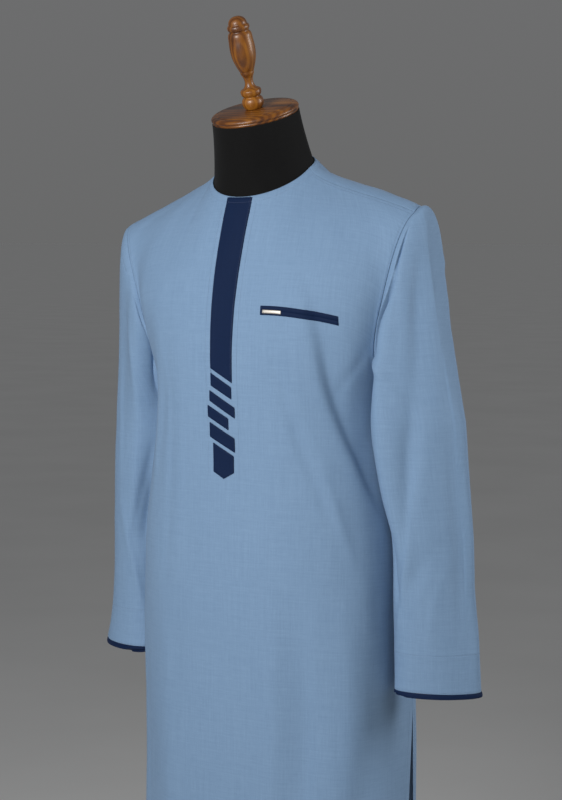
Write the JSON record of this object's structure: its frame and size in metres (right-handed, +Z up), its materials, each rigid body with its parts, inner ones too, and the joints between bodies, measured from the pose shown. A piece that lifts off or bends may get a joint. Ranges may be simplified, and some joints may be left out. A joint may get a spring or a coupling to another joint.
{
  "type": "kaftan on dress form",
  "caption": "Long-sleeved straight kaftan with contrast placket, welt pocket and side slits, worn by a limbless dress form on a round-based stand.",
  "frame": {"origin": "centre of the stand base's underside, on the floor", "axes": "+Z up along the pole; the kaftan's front faces -Y; +X is the wearer's left"},
  "size_m": [0.6318, 0.38, 1.701],
  "materials": {
    "blue_twill": "light steel-blue fine twill, matt",
    "navy_twill": "navy fine twill, matt",
    "black_cover": "black close-woven cover",
    "turned_wood": "warm brown, varnished",
    "dark_steel": "dark satin",
    "bare_metal": "bright brushed, bare"
  },
  "bodies": {
    "root": {"kaftan_front": "blue_twill", "kaftan_back": "blue_twill", "sleeve_left": "blue_twill", "sleeve_right": "blue_twill", "cuff_edge_left": "navy_twill", "cuff_edge_right": "navy_twill", "placket_strip": "navy_twill", "placket_block_1": "navy_twill", "placket_block_2": "navy_twill", "placket_block_3": "navy_twill", "placket_block_4": "navy_twill", "placket_tip": "navy_twill", "pocket_welt_upper": "navy_twill", "pocket_welt_lower": "navy_twill", "pocket_tag": "bare_metal", "form_torso": "black_cover", "neck_cap": "turned_wood", "finial": "turned_wood", "stand_pole": "dark_steel", "stand_base": "turned_wood"}
  },
  "joints": []
}
